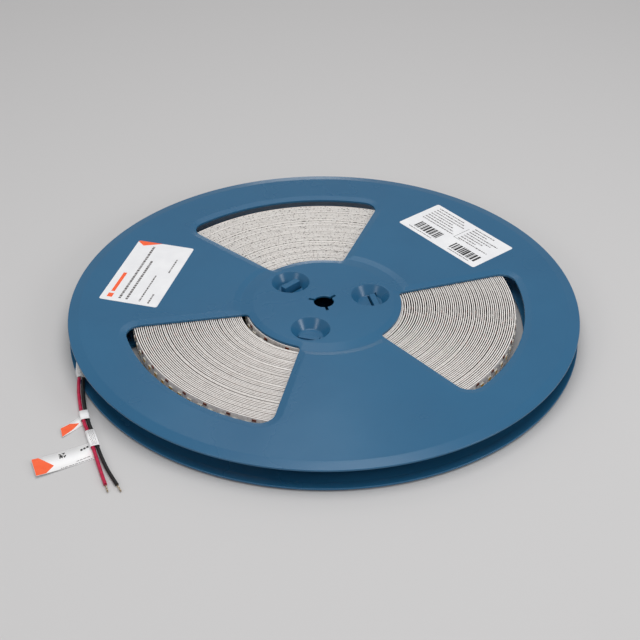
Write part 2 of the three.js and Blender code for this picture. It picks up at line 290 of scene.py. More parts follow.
def stranded_tip(name, points, finish):
    """The stripped end: strands twisted round one in the middle, dipped in solder."""
    heading = points[-1] - points[-2]
    heading.z = 0
    place = Matrix.Translation(points[-1]) @ heading.to_track_quat("Z", "X").to_matrix().to_4x4()
    strand = tip_diameter / 6
    shape = bmesh.new()
    for i in range(strand_count + 1):
        across = 0 if i == strand_count else tip_diameter / 2 - strand
        angle = i * 2 * math.pi / strand_count
        start = Matrix.Translation((across * math.cos(angle), across * math.sin(angle), tip_gap))
        ring = bmesh.ops.create_circle(shape, cap_ends=True, radius=strand * strand_overlap,
                                       segments=8, matrix=start)
        tip = ring["verts"][0].link_faces[0]
        for _ in range(tip_steps):
            made = bmesh.ops.extrude_face_region(shape, geom=[tip])
            tip = next(f for f in made["geom"] if isinstance(f, bmesh.types.BMFace))
            bmesh.ops.translate(shape, verts=tip.verts[:], vec=(0, 0, tip_length / tip_steps))
            bmesh.ops.rotate(shape, verts=tip.verts[:], cent=(0, 0, 0),
                             matrix=Matrix.Rotation(strand_twist, 3, "Z"))
    bmesh.ops.recalc_face_normals(shape, faces=shape.faces[:])
    for face in shape.faces:
        face.smooth = True
    bmesh.ops.transform(shape, verts=shape.verts[:], matrix=place)
    return mesh_piece(name, shape, finish)


red_insulation = toned_finish(
    "red_insulation", srgb(200, 26, 74), srgb(166, 16, 58), 400, 3000, 0.00002, 0.38)
black_insulation = toned_finish(
    "black_insulation", srgb(26, 27, 28), srgb(16, 17, 18), 400, 3000, 0.00002, 0.42)
tinned_copper = toned_finish(
    "tinned_copper", srgb(226, 214, 190), srgb(172, 148, 118), 1500, 6000, 0.00003, 0.32,
    Metallic=0.9)
leads = {}
for name, side, finish in [("red", -1, red_insulation), ("black", 1, black_insulation)]:
    points = lead_points(side)
    wire = lead_curve(f"{name}_lead", points, finish)
    tip = stranded_tip(f"{name}_lead_tip", points, tinned_copper)
    ride_on_reel(wire, f"{name}_insulation", f"{name}_wire")
    ride_on_reel(tip, "tinned_copper", f"{name}_wire_tip")
    leads[name] = wire, tip, points


# The two flanges: one moulding of blue polystyrene, made twice and clipped together back to
# back. Each has a turned-in rim, three windows with sloping borders, a V groove round the hub
# disc, an arbor hole with three key slots, and half of the barrel that the strip is wound on.
flange_radius = 0.165
panel_wall = 0.0016
reel_height = 0.0174
rim_wall = 0.0013
rim_line_radius = 0.1582
rim_drop = 0.0012
groove_outer_radius = 0.0585
groove_radius = 0.054
hub_disc_radius = 0.046
groove_drop = 0.0009
barrel_radius = 0.050
barrel_wall = 0.0016
barrel_joint_gap = 0.0003
arbor_radius = 0.0065
key_slot_reach = 0.0103
key_slot_width = 0.002
key_slot_angle = 43.8
window_outer_radius = 0.130
window_inner_radius = 0.0505
window_half_angle = 33.9
window_side_shift = 0.0042
window_outer_fillet = 0.011
window_inner_fillet = 0.003
window_border = 0.0045
window_border_drop = 0.0009
window_angle = 104.4
cup_circle_radius = 0.0314
cup_angle = 14.6
cup_top_radius = 0.0125
cup_floor_radius = 0.008
cup_depth = 0.0065
tongue_length = 0.0136
tongue_width = 0.0042
tongue_clearance = 0.0009
low_tongue_offset = 0.0031
low_tongue_depth = 0.0043
tall_tongue_depth = 0.001
edge_round = 0.0004
turning_steps = 256
cup_steps = 96
same_place = 1e-7
weld_distance = 2e-6
overlap = 0.0005
cut_margin = 0.001
corner_pull = 0.55
corner_steps = 10
outer_arc_steps = 44
inner_arc_steps = 24
flat_normal = 0.9998
crease_angle = math.radians(35)

# Sections of (margin, height) round a window: the sloping border's wall, and the hollow that
# is cut through it with its creases rounded. Sections of (radius, height) for a cup likewise.
sunk_level = panel_wall + window_border_drop
window_wall = [
    (window_border, panel_wall - overlap),
    (window_border, panel_wall),
    (0.0005, sunk_level - 0.0001),
    (0, sunk_level),
]
window_hollow = [
    (window_border + overlap, -cut_margin),
    (window_border + overlap, -0.000004),
    (window_border + 0.0001, 0.00003),
    (window_border - 0.0004, 0.00010),
    (0.0004, 0.00082),
    (0.0001, 0.00092),
    (0, 0.00115),
    (0, sunk_level - 0.0003),
    (0.0001, sunk_level - 0.00008),
    (0.0004, sunk_level + 0.0001),
    (0.0004, reel_height / 2),
]
cup_slope = (cup_top_radius - cup_floor_radius) / cup_depth
cup_wall = [
    (0, overlap),
    (cup_top_radius + panel_wall - 0.0004, overlap),
    (cup_floor_radius + panel_wall, cup_depth + panel_wall),
    (0, cup_depth + panel_wall),
]
cup_hollow = [
    (0, -overlap),
    (cup_top_radius + 0.0006, -overlap),
    (cup_top_radius + 0.0006, -0.000004),
    (cup_top_radius + 0.0001, 0.00008),
    (cup_top_radius - cup_slope * 0.0006, 0.0006),
    (cup_top_radius - cup_slope * (cup_depth - 0.0005), cup_depth - 0.0005),
    (cup_floor_radius - 0.0001, cup_depth - 0.00012),
    (cup_floor_radius - 0.0006, cup_depth),
    (0, cup_depth),
]


def polar(radius, degrees, level=0.0):
    """A point at a distance and an angle round the reel's axis."""
    angle = math.radians(degrees)
    return Vector((radius * math.cos(angle), radius * math.sin(angle), level))


def round_off(shape, parts, amount, affect, segments=3):
    """Rounds edges or corners."""
    bmesh.ops.bevel(shape, geom=parts, offset=amount, offset_type="OFFSET", affect=affect,
                    segments=segments, profile=0.5, material=-1)


def turned(outline, rounded=0.0, steps=turning_steps, closed=True):
    """A shape turned about Z from its outline of (radius, height) points."""
    shape = bmesh.new()
    shape.faces.new([shape.verts.new((r, 0, z)) for r, z in outline])
    if rounded:
        round_off(shape, shape.verts[:], rounded, "VERTICES")
    bmesh.ops.delete(shape, geom=shape.faces[:], context="FACES_ONLY")
    if not closed:
        on_axis = [e for e in shape.edges if all(abs(v.co.x) < same_place for v in e.verts)]
        bmesh.ops.delete(shape, geom=on_axis, context="EDGES")
    bmesh.ops.spin(shape, geom=shape.verts[:] + shape.edges[:], cent=(0, 0, 0),
                   axis=(0, 0, 1), angle=2 * math.pi, steps=steps, use_merge=True)
    bmesh.ops.remove_doubles(shape, verts=shape.verts[:], dist=same_place)
    bmesh.ops.recalc_face_normals(shape, faces=shape.faces[:])
    return shape


def window_loop(shape, middle, grow, level):
    """The window's outline as a closed loop of edges, grown by a margin all round."""
    outer = window_outer_radius + grow
    inner = window_inner_radius - grow
    outer_fillet = window_outer_fillet + grow
    inner_fillet = window_inner_fillet + grow

    def side(radius, sign):
        half = window_half_angle - math.degrees(math.asin((window_side_shift - grow) / radius))
        return middle + sign * half

    def arc(radius, fillet, sign, steps):
        trim = math.degrees(fillet / radius)
        start = side(radius, -sign) + sign * trim
        end = side(radius, sign) - sign * trim
        return [polar(radius, start + (end - start) * i / steps) for i in range(steps + 1)]

    def corner(before, at, after):
        handles = [before.lerp(at, corner_pull), after.lerp(at, corner_pull)]
        return interpolate_bezier(before, *handles, after, corner_steps)[1:-1]

    def on_side(radius, sign):
        return polar(radius, side(radius, sign))

    outer_arc = arc(outer, outer_fillet, 1, outer_arc_steps)
    inner_arc = arc(inner, inner_fillet, -1, inner_arc_steps)
    sides = [on_side(outer - outer_fillet, 1), on_side(inner + inner_fillet, 1),
             on_side(inner + inner_fillet, -1), on_side(outer - outer_fillet, -1)]
    points = [
        *outer_arc,
        *corner(outer_arc[-1], on_side(outer, 1), sides[0]),
        *sides[:2],
        *corner(sides[1], on_side(inner, 1), inner_arc[0]),
        *inner_arc,
        *corner(inner_arc[-1], on_side(inner, -1), sides[2]),
        *sides[2:],
        *corner(sides[3], on_side(outer, -1), outer_arc[0]),
    ]
    ring = [shape.verts.new((p.x, p.y, level)) for p in points]
    return [shape.edges.new(pair) for pair in zip(ring, ring[1:] + ring[:1])]


def window_solids(shape, section):
    """One closed body per window, drawn through loops of (margin, height)."""
    for i in range(3):
        loops = [window_loop(shape, window_angle + i * 120, *step) for step in section]
        for low, high in zip(loops, loops[1:]):
            bmesh.ops.bridge_loops(shape, edges=low + high)
        bmesh.ops.holes_fill(shape, edges=loops[0] + loops[-1])


def carve(body, tool_shape, operation):
    """Joins a piece with a tool shape, or cuts it."""
    bmesh.ops.recalc_face_normals(tool_shape, faces=tool_shape.faces[:])
    tool = mesh_piece("tool", tool_shape)
    cut = body.modifiers.new("cut", "BOOLEAN")
    cut.operation = operation
    cut.solver = "EXACT"
    cut.object = tool
    depsgraph = bpy.context.evaluated_depsgraph_get()
    result = bpy.data.meshes.new_from_object(body.evaluated_get(depsgraph))
    body.modifiers.clear()
    body.data = result
    bpy.data.objects.remove(tool)


def radial_block(shape, radius, length, width, low, high, degrees, rounded=0.0):
    """A block on a ray from the axis, between two levels."""
    place = Matrix.Rotation(math.radians(degrees), 4, "Z") @ Matrix.Translation(
        (radius, 0, (low + high) / 2)) @ Matrix.Diagonal((length, width, high - low, 1))
    made = bmesh.ops.create_cube(shape, size=1, matrix=place)["verts"]
    if rounded:
        edges = list({e for v in made for e in v.link_edges})
        round_off(shape, edges, rounded, "EDGES")


def moulding(name, added, hollows):
    """A flange with its outer face down at height 0: what both share, with more wall added and
    more hollows cut."""
    barrel_top = reel_height / 2 - barrel_joint_gap / 2
    barrel_foot = panel_wall + groove_drop * (barrel_radius - hub_disc_radius) / (
        groove_radius - hub_disc_radius)
    body = mesh_piece(name, turned([
        (arbor_radius, 0),
        (hub_disc_radius, 0),
        (groove_radius, groove_drop),
        (groove_outer_radius, 0),
        (rim_line_radius, 0),
        (flange_radius, rim_drop),
        (flange_radius, rim_drop + rim_wall),
        (rim_line_radius, panel_wall),
        (groove_outer_radius, panel_wall),
        (groove_radius, panel_wall + groove_drop),
        (barrel_radius, barrel_foot),
        (barrel_radius, barrel_top),
        (barrel_radius - barrel_wall, barrel_top),
        (barrel_radius - barrel_wall, panel_wall),
        (arbor_radius, panel_wall),
    ], rounded=edge_round))
    window_solids(added, window_wall)
    window_solids(hollows, window_hollow)
    for i in range(3):
        radial_block(hollows, key_slot_reach / 2, key_slot_reach, key_slot_width, -cut_margin,
                     panel_wall + cut_margin, key_slot_angle + i * 120)
    carve(body, added, "UNION")
    carve(body, hollows, "DIFFERENCE")
    return body


def tongue_place(i):
    """A tongue's distance from the axis, its depth below the reel's top and its angle. The one
    in the second cup is the tall one."""
    tall = i == 1
    radius = cup_circle_radius + (0 if tall else low_tongue_offset)
    return radius, tall_tongue_depth if tall else low_tongue_depth, cup_angle + i * 120


def join_shape(shape, part):
    """Adds one bmesh to another and uses it up."""
    mesh = bpy.data.meshes.new("part")
    part.to_mesh(mesh)
    part.free()
    shape.from_mesh(mesh)
    bpy.data.meshes.remove(mesh)


def add_turned(shape, outline, centre):
    """A turned body, closed on its own axis, set at its place in a bigger shape."""
    body = turned(outline, steps=cup_steps, closed=False)
    bmesh.ops.translate(body, verts=body.verts[:], vec=centre)
    join_shape(shape, body)


def upper_flange():
    """The flange with the conical cups, and a latch slot through each floor."""
    walls = bmesh.new()
    hollows = bmesh.new()
    slots = bmesh.new()
    for i in range(3):
        centre = polar(cup_circle_radius, cup_angle + i * 120)
        add_turned(walls, cup_wall, centre)
        add_turned(hollows, cup_hollow, centre)
        radius, _, angle = tongue_place(i)
        radial_block(slots, radius, tongue_width + 2 * tongue_clearance,
                     tongue_length + 2 * tongue_clearance, low_tongue_depth, reel_height / 2,
                     angle)
    body = moulding("upper_flange", walls, hollows)
    carve(body, slots, "DIFFERENCE")
    return body


def lower_flange():
    """The flange with the tongues that stand in the cups of the other."""
    tongues = bmesh.new()
    for i in range(3):
        radius, depth, angle = tongue_place(i)
        radial_block(tongues, radius, tongue_width, tongue_length, panel_wall / 2,
                     reel_height - depth, angle, rounded=edge_round)
    return moulding("lower_flange", tongues, bmesh.new())


def soften(body, upside_down=False):
    """Flat faces stay flat and curved ones are shaded smooth."""
    shape = bmesh.new()
    shape.from_mesh(body.data)
    if upside_down:
        bmesh.ops.scale(shape, vec=(1, 1, -1), verts=shape.verts[:])
        bmesh.ops.translate(shape, vec=(0, 0, reel_height), verts=shape.verts[:])
    bmesh.ops.remove_doubles(shape, verts=shape.verts[:], dist=weld_distance)
    bmesh.ops.recalc_face_normals(shape, faces=shape.faces[:])
    shape.normal_update()
    for face in shape.faces:
        face.smooth = abs(face.normal.z) < flat_normal
        face.material_index = 0
    shape.to_mesh(body.data)
    shape.free()
    body.data.set_sharp_from_angle(angle=crease_angle)
    even = body.modifiers.new("even_normals", "WEIGHTED_NORMAL")
    even.keep_sharp = True


reel_plastic = toned_finish(
    "reel_plastic", srgb(42, 101, 139), srgb(35, 94, 132), 14, 2500, 0.000008, 0.25)
top_flange = upper_flange()
soften(top_flange, upside_down=True)
bottom_flange = lower_flange()
soften(bottom_flange)
for piece, node in [(top_flange, "top_flange"), (bottom_flange, "bottom_flange")]:
    piece.data.materials.clear()
    piece.data.materials.append(reel_plastic)
    ride_on_reel(piece, "reel_plastic", node)


# The wound strip: thirty metres of white flexible circuit board in one spiral of fifty-five
# turns, with the LEDs facing outwards and a paper liner on the back. The innermost turn lies
# loose round the barrel. The outer end leaves the winding at a tangent and runs to the leads.
board_thickness = 0.00058
board_width = 0.010
roll_base = 0.0046
roll_inner_radius = 0.0505
roll_outer_radius = 0.1248
second_turn_radius = 0.0524
turn_count = 54.4
inner_lean = 0.00224
lean_angle = 190
lean_turns = 10
step_start = 0.8
step_turns = 0.4
even_start = 1.1
loose_turns = 4
turn_clearance = 0.00005
wave_count = 6
wave_rates = (0.35, 2.7)
slack_width = 0.00003
edge_wander = 0.00007
wander_phase = 2.1
wander_rate = 0.31
roll_end_angle = 160
tail_straight = 0.075
tail_end = Vector((-0.153, -0.0525))
tail_drop = 0.0014
route_step = 0.0042
tail_steps = 20
led_pitch = 0.00833
led_size = (0.0035, 0.0028, 0.00075)
led_window = 0.00028
# Painted shade lies on the sides of the packed turns only, between these radii: not on the
# innermost and outermost walls.
packed_radius = 0.0881
packed_half = 0.0351
mark_scale = 620
mark_from = 0.55
mark_to = 0.64
# The painted shade starts this many margins below the board's top edge and is full at this many.
shade_from = 1.0
shade_to = 1.9
resistor_size = (0.0026, 0.0014, 0.00045)
resistor_rise = 0.0032
resistor_every = 2
batch_count = 60


def eased(share):
    """A share from 0 to 1 that starts and ends gently."""
    return share * (share * (3 - 2 * share))


def turn_angle(turns):
    """The angle that the spiral has come to after so many turns."""
    return roll_end_angle + 360 * (turns - turn_count)


def turn_radius(turns):
    """The middle of the board's distance from the axis, after so many turns. The inner turns
    lie loose to one side, and no turn cuts into the one inside it."""
    first = roll_inner_radius + board_thickness / 2
    last = roll_outer_radius - board_thickness / 2
    share = eased(min(max((turns - step_start) / step_turns, 0), 1))
    beyond = turns - even_start
    even = second_turn_radius + (last - second_turn_radius) * beyond / (turn_count - even_start)
    lean = math.cos(math.radians(turn_angle(turns) - lean_angle))
    lean *= inner_lean * math.exp(-max(beyond, 0) / lean_turns)
    radius = first + (even + lean - first) * share
    if 1 < turns < loose_turns:
        radius = max(radius, turn_radius(turns - 1) + board_thickness + turn_clearance)
    return radius


def spiral_route(rng):
    """Points along the middle of the board, from the barrel out to the loose end."""
    middle = roll_base + board_width / 2
    waves = [(rng.uniform(0, 6.28), rng.uniform(*wave_rates)) for _ in range(wave_count)]
    turns = 0.0
    points = []
    while turns < turn_count:
        radius = turn_radius(turns)
        slack = sum(math.sin(phase + rate * 2 * math.pi * turns) for phase, rate in waves)
        radius += slack_width * slack * min(1, max(turns - 1, 0) / 3, (turn_count - turns) / 3)
        lift = sum(math.sin(wander_phase * phase + wander_rate * rate * turns * 2 * math.pi)
                   for phase, rate in waves)
        points.append(polar(radius, turn_angle(turns), middle + edge_wander * lift))
        turns += route_step / (2 * math.pi * radius)
    start = polar(turn_radius(turn_count), roll_end_angle, middle)
    bend = start + polar(tail_straight, roll_end_angle + 90)
    end = Vector((*tail_end, middle - tail_drop))
    for i in range(tail_steps + 1):
        u = i / tail_steps
        point = start * (1 - u) ** 2 + bend * 2 * u * (1 - u) + end * u ** 2
        point.z = middle - tail_drop * u
        points.append(point)
    return points


def board_ribbon(name, points, *finishes):
    """The board: an upright ribbon along the spiral, as thick as board, tape and liner. Its two
    sides and its edges take the three finishes in turn."""
    shape = bmesh.new()
    half = Vector((0, 0, board_width / 2))
    line = [shape.verts.new(point - half) for point in points]
    edges = [shape.edges.new(pair) for pair in zip(line, line[1:])]
    made = bmesh.ops.extrude_edge_only(shape, edges=edges)["geom"]
    top = [v for v in made if isinstance(v, bmesh.types.BMVert)]
    bmesh.ops.translate(shape, verts=top, vec=(0, 0, board_width))
    piece = mesh_piece(name, shape, *finishes)
    wall = piece.modifiers.new("thickness", "SOLIDIFY")
    wall.thickness = board_thickness
    wall.offset = 0
    wall.material_offset = 1
    wall.material_offset_rim = 2
    return piece


def wall_marks():
    """The group for the two sides of the board: small grey spots, and painted shade between the
    turns, below a margin along the edge."""
    group = bpy.data.node_groups.new("wall_marks", "ShaderNodeTree")
    for socket in ("Clean", "Mark", "Painted_shade"):
        group.interface.new_socket(socket, in_out="INPUT", socket_type="NodeSocketColor")
    group.interface.new_socket("Margin", in_out="INPUT", socket_type="NodeSocketFloat")
    group.interface.new_socket("Colour", in_out="OUTPUT", socket_type="NodeSocketColor")
    given = add_node(group, "NodeGroupInput")
    place = add_node(group, "ShaderNodeTexCoord")
    # Small grey spots of noise on both sides of the board.
    spots = add_node(group, "ShaderNodeTexNoise", {
        "Vector": place.outputs["Object"],
        "Scale": mark_scale,
        "Detail": 1,
    })
    marked = add_node(group, "ShaderNodeMapRange", {
        "Value": spots.outputs["Fac"],
        "From Min": mark_from,
        "From Max": mark_to,
    })
    spotted = add_node(group, "ShaderNodeMix", {
        "Factor": marked.outputs["Result"],
        "A": given.outputs["Clean"],
        "B": given.outputs["Mark"],
    }, data_type="RGBA")
    # Painted shade: below the margin the side darkens to its shade colour, on the packed turns
    # only.
    height = add_node(group, "ShaderNodeSeparateXYZ", {"Vector": place.outputs["Object"]})
    depth = add_node(group, "ShaderNodeMath", {
        0: roll_base + board_width,
        1: height.outputs["Z"],
    }, operation="SUBTRACT")
    below = add_node(group, "ShaderNodeMath", {
        0: depth.outputs["Value"],
        1: given.outputs["Margin"],
    }, operation="DIVIDE")
    shade = add_node(group, "ShaderNodeMapRange", {
        "Value": below.outputs["Value"],
        "From Min": shade_from,
        "From Max": shade_to,
    })
    flat = add_node(group, "ShaderNodeVectorMath", {
        0: place.outputs["Object"],
        1: (1, 1, 0),
    }, operation="MULTIPLY")
    radius = add_node(group, "ShaderNodeVectorMath", {
        0: flat.outputs["Vector"],
    }, operation="LENGTH")
    inside = add_node(group, "ShaderNodeMath", {
        0: radius.outputs["Value"],
        1: packed_radius,
        2: packed_half,
    }, operation="COMPARE")
    between = add_node(group, "ShaderNodeMath", {
        0: shade.outputs["Result"],
        1: inside.outputs["Value"],
    }, operation="MULTIPLY")
    deepened = add_node(group, "ShaderNodeMix", {
        "Factor": between.outputs["Value"],
        "A": spotted.outputs["Result"],
        "B": given.outputs["Painted_shade"],
    }, data_type="RGBA")
    add_node(group, "NodeGroupOutput", {"Colour": deepened.outputs["Result"]})
    return group


def marked_finish(name, clean, mark, deep, margin, roughness):
    """A finish for one side of the board, whose deep colour is painted shade between the turns.
    """
    material, tree, shader = finish_of(name, Roughness=roughness)
    marks = add_node(tree, "ShaderNodeGroup", node_tree=marks_group)
    for socket, colour in [("Clean", clean), ("Mark", mark), ("Painted_shade", deep)]:
        marks.inputs[socket].default_value = colour
    marks.inputs["Margin"].default_value = margin
    tree.links.new(marks.outputs["Colour"], shader.inputs["Base Color"])
    return material


def soldered_block(shape, place, size, colour_index, window=0.0):
    """One small block on the outer face of the board, some with a window in their front."""
    along, tall, deep = size
    block = place @ Matrix.Translation((0, deep / 2, 0)) @ Matrix.Diagonal(
        (along, deep, tall, 1))
    made = bmesh.ops.create_cube(shape, size=1, matrix=block)["verts"]
    outward = place.col[1].xyz
    for face in {f for v in made for f in v.link_faces}:
        face.normal_update()
        face.material_index = 0 if window else colour_index
        if window and face.normal.dot(outward) > 0.9:
            bmesh.ops.inset_individual(shape, faces=[face], thickness=window)
            face.material_index = colour_index


marks_group = wall_marks()
# The third colour of each side is painted shade, for the dark gaps between the turns.
solder_side = marked_finish(
    "solder_side", srgb(246, 240, 236), srgb(226, 216, 210), srgb(18, 14, 12), 0.0005, 0.45)
liner_side = marked_finish(
    "liner_side", srgb(255, 253, 248), srgb(150, 145, 140), srgb(28, 24, 21), 0.0006, 0.6)
board_edge = toned_finish(
    "board_edge", srgb(253, 250, 247), srgb(238, 233, 229), 220, 2400, 0.00002, 0.5)
led_body = toned_finish(
    "led_body", srgb(238, 236, 228), srgb(222, 218, 206), 300, 3000, 0.00001, 0.45)
phosphor = toned_finish(
    "phosphor", srgb(242, 192, 44), srgb(230, 158, 26), 600, 3000, 0.00001, 0.3)
resistor_brown = toned_finish(
    "resistor_brown", srgb(140, 66, 42), srgb(70, 38, 30), 600, 3000, 0.00001, 0.4)
route = spiral_route(random.Random(7))
roll = board_ribbon("wound_strip", route, liner_side, solder_side, board_edge)
ride_on_reel(roll, "strip", "led_strip_roll")

blocks = bmesh.new()
batch = bmesh.new()
travelled = 0.0
count = 0
for here, after in zip(route, route[1:]):
    travelled += (after - here).length
    if travelled < led_pitch * (count + 1):
        continue
    count += 1
    heading = (after - here).normalized()
    outward = Vector((heading.y, -heading.x, 0)).normalized()
    up = Vector((0, 0, 1))
    place = Matrix((-heading, outward, up)).transposed().to_4x4()
    place.translation = here + outward * board_thickness / 2
    soldered_block(batch, place, led_size, 1, led_window)
    if count % resistor_every == 0:
        place.translation += heading * led_pitch / 2 + up * resistor_rise
        soldered_block(batch, place, resistor_size, 2)
    if count % batch_count == 0:
        join_shape(blocks, batch)
        batch = bmesh.new()
join_shape(blocks, batch)
led_blocks = mesh_piece("leds_and_resistors", blocks, led_body, phosphor, resistor_brown)
ride_on_reel(led_blocks, "strip")


# The sleeve: clear heat-shrink tube, shrunk tall and flat over the soldered end of the strip
# and low and wide over the two leads that come out of it.
sleeve_wall = 0.0003
sleeve_from = -0.0528
sleeve_to = -0.067
sleeve_end_half = (0.0027, 0.0014)
sleeve_route = [(-0.153, 0.0082), (-0.1526, 0.008), (-0.1513, 0.0068), (-0.14965, 0.0056)]
sleeve_steps = 24
sleeve_slack = 0.95
shrink_start = 0.1
shrink_length = 0.7
ripple_height = 0.03
ripple_rates = (9, 17)
sleeve_crease = math.radians(50)


def sleeve_shape():
    """The tube, drawn as rings along its route and then given its wall."""
    shape = bmesh.new()
    start_half = (board_thickness * sleeve_slack + sleeve_wall, board_width / 2 + sleeve_wall)
    knots = [Vector((x, 0, z)) for x, z in sleeve_route]
    centres = [p for a, b in zip(knots, knots[1:]) for p in interpolate_bezier(
        a, a.lerp(b, 1 / 3), a.lerp(b, 2 / 3), b, sleeve_steps // 3 + 1)[:-1]] + [knots[-1]]
    ring = bmesh.ops.create_circle(shape, cap_ends=False, radius=1, segments=28)
    edges = list({e for v in ring["verts"] for e in v.link_edges})
    rows = [ring["verts"]]
    for _ in range(sleeve_steps):
        made = bmesh.ops.extrude_edge_only(shape, edges=edges)["geom"]
        edges = [e for e in made if isinstance(e, bmesh.types.BMEdge)]
        rows.append([v for v in made if isinstance(v, bmesh.types.BMVert)])
    for i, row in enumerate(rows):
        u = i / sleeve_steps
        blend = eased(min(max((u - shrink_start) / shrink_length, 0), 1))
        half = [a + (b - a) * blend for a, b in zip(start_half, sleeve_end_half)]
        y = sleeve_from + (sleeve_to - sleeve_from) * u
        slow, fast = (math.sin(rate * u) for rate in ripple_rates)
        ripple = 1 + ripple_height * slow * fast
        for v in row:
            v.co = Vector((centres[i].x + v.co.x * half[0] * ripple, y,
                           centres[i].z + v.co.y * half[1]))
    bmesh.ops.recalc_face_normals(shape, faces=shape.faces[:])
    bmesh.ops.solidify(shape, geom=shape.faces[:], thickness=sleeve_wall)
    for face in shape.faces:
        face.smooth = True
    return shape


clear_sleeve = toned_finish(
    "clear_sleeve", srgb(250, 250, 250), srgb(236, 237, 238), 200, 2500, 0.00003, 0.22, Alpha=0.8)
sleeve = mesh_piece("shrunk_sleeve", sleeve_shape(), clear_sleeve)
sleeve.data.set_sharp_from_angle(angle=sleeve_crease)
ride_on_reel(sleeve, "clear_sleeve", "heat_shrink_sleeve")


# The paper flags: a band of sticky white paper folded round both leads, its two ends pressed
# together as a flat tail that runs out from under them over the table, on a slant. Each tail
# ends in an orange pointer, and the long one carries a dark block and lines of grey print.
paper_sheet = 0.00012
band_core = (0.0018, 0.00036)
band_round = 0.001
band_steps = 32
tail_root = -0.0021
tail_levels = (-0.00147, -0.0016)
flag_steps = 18
curl_start = 0.003
pointer_steps = 24
dash_steps = 3
print_height = 0.00002
short_tag = {"along": 0.0336, "width": 0.0084, "reach": 0.0155, "shift": 0.0006,
             "slant": 0.67, "curl": 0.0008}
long_tag = {"along": 0.0564, "width": 0.015, "reach": 0.0375, "shift": 0.008,
            "slant": 0.17, "curl": 0.0018}
# Each pointer lies between two lines of (away, across) points.
short_pointer = (
    [(0.0038, 0.0040), (0.0095, 0.0035), (0.0154, 0.0070)],
    [(0.0038, 0.0040), (0.0080, 0.0088), (0.0154, 0.0150)],
)
long_pointer = (
    [(0.0259, 0.0151), (0.0333, 0.0063), (0.0374, 0.0069)],
    [(0.0259, 0.0151), (0.0315, 0.0208), (0.0374, 0.0218)],
)
code_corner = (0.0176, 0.0054)
code_cell = 0.00068
code_cells = 6
code_filled = 0.55
bold_dashes = [(0.0034, 0.0033), (0.0053, 0.0040), (0.0072, 0.0048)]
bold_reach = (0.0014, 0.0005)
bold_breadth = 0.0015
# Each row: where it starts and ends away from the leads, its place along them and its slope.
tail_rows = [(0.0042, 0.0130, 0.0126, 0.27), (0.0035, 0.0225, 0.0151, 0.18)]
tail_row_breadth = 0.0005
tail_row_gap = 0.0004
tail_words = (0.0006, 0.0020)
band_words = (0.0003, 0.0008)
band_rows = 13
band_row_first = -0.0068
band_row_pitch = 0.00105
band_row_breadth = 0.0004
band_row_gap = 0.00035
band_row_ends = (-0.0017, 0.0013)


def along_leads(distance):
    """The place on the pair's middle line at a distance from the sleeve."""
    points = lead_points(0)
    for here, after in zip(points, points[1:]):
        step = after - here
        if distance <= step.length:
            return here + step.normalized() * distance, step.normalized()
        distance -= step.length
    return points[-1], step.normalized()


def flag_place(tag, away, height, across):
    """A point of the flag, from its place away from the leads and along them."""
    centre, forward = along_leads(tag["along"])
    forward.z = 0
    forward.normalize()
    left = forward.cross(Vector((0, 0, 1)))
    return centre + left * away + Vector((0, 0, height)) + forward * across


def tail_lift(tag, away):
    """How far the tail has curled up off the table."""
    return tag["curl"] * (max(away - curl_start, 0) / (tag["reach"] - curl_start)) ** 2


def paper_ribbon(shape, tag, path, on_tail):
    """A sheet as wide as the flag along a path of (away, height) points: the closed band, or
    the open tail."""
    line = [shape.verts.new((*point, -tag["width"] / 2)) for point in path]
    ahead = line[1:] if on_tail else line[1:] + line[:1]
    edges = [shape.edges.new(pair) for pair in zip(line, ahead)]
    made = bmesh.ops.extrude_edge_only(shape, edges=edges)["geom"]
    far_side = [v for v in made if isinstance(v, bmesh.types.BMVert)]
    bmesh.ops.translate(shape, verts=far_side, vec=(0, 0, tag["width"]))
    for vert in line + far_side:
        away, height, across = vert.co
        if on_tail:
            height += tail_lift(tag, away)
            across += tag["shift"] + tag["slant"] * away
        vert.co = flag_place(tag, away, height, across)


def paper_flag(name, tag, finish):
    """The folded band and its tail of two sheets."""
    shape = bmesh.new()
    band = []
    for i in range(band_steps):
        angle = (i + 0.5) * 2 * math.pi / band_steps
        band.append((math.copysign(band_core[0], math.cos(angle)) + band_round * math.cos(angle),
                     math.copysign(band_core[1], math.sin(angle)) + band_round * math.sin(angle)))
    paper_ribbon(shape, tag, band, False)
    tail = [tail_root + (tag["reach"] - tail_root) * i / flag_steps
            for i in range(flag_steps + 1)]
    path = [(x, tail_levels[0]) for x in reversed(tail)] + [(x, tail_levels[1]) for x in tail]
    paper_ribbon(shape, tag, path, True)
    bmesh.ops.recalc_face_normals(shape, faces=shape.faces[:])
    for face in shape.faces:
        face.smooth = True
    flag = mesh_piece(name, shape, finish)
    wall = flag.modifiers.new("paper", "SOLIDIFY")
    wall.thickness = paper_sheet
    wall.offset = 0
    return flag


def edge_at(points, x):
    """The second coordinate of a line of points where its first is x."""
    for (x0, y0), (x1, y1) in zip(points, points[1:]):
        if x <= x1:
            return y0 + (y1 - y0) * (x - x0) / (x1 - x0)
    return points[-1][1]


def tail_print(shape, tag, low_edge, high_edge, steps):
    """A closed film of ink on the tail between two lines of (away, across) points."""
    first = low_edge[0][0]
    last = low_edge[-1][0]
    paper_top = tail_levels[0] + paper_sheet / 2
    rows = []
    for i in range(steps + 1):
        away = first + (last - first) * i / steps
        sides = edge_at(low_edge, away), edge_at(high_edge, away)
        base = paper_top + tail_lift(tag, away)
        rows.append([shape.verts.new(flag_place(tag, away, base + lift, across))
                     for lift in (0, print_height) for across in sides])
    for near, far in zip(rows, rows[1:]):
        for a, b in [(0, 1), (1, 3), (3, 2), (2, 0)]:
            shape.faces.new([near[a], near[b], far[b], far[a]])
    for end in (rows[0], rows[-1]):
        shape.faces.new([end[0], end[1], end[3], end[2]])


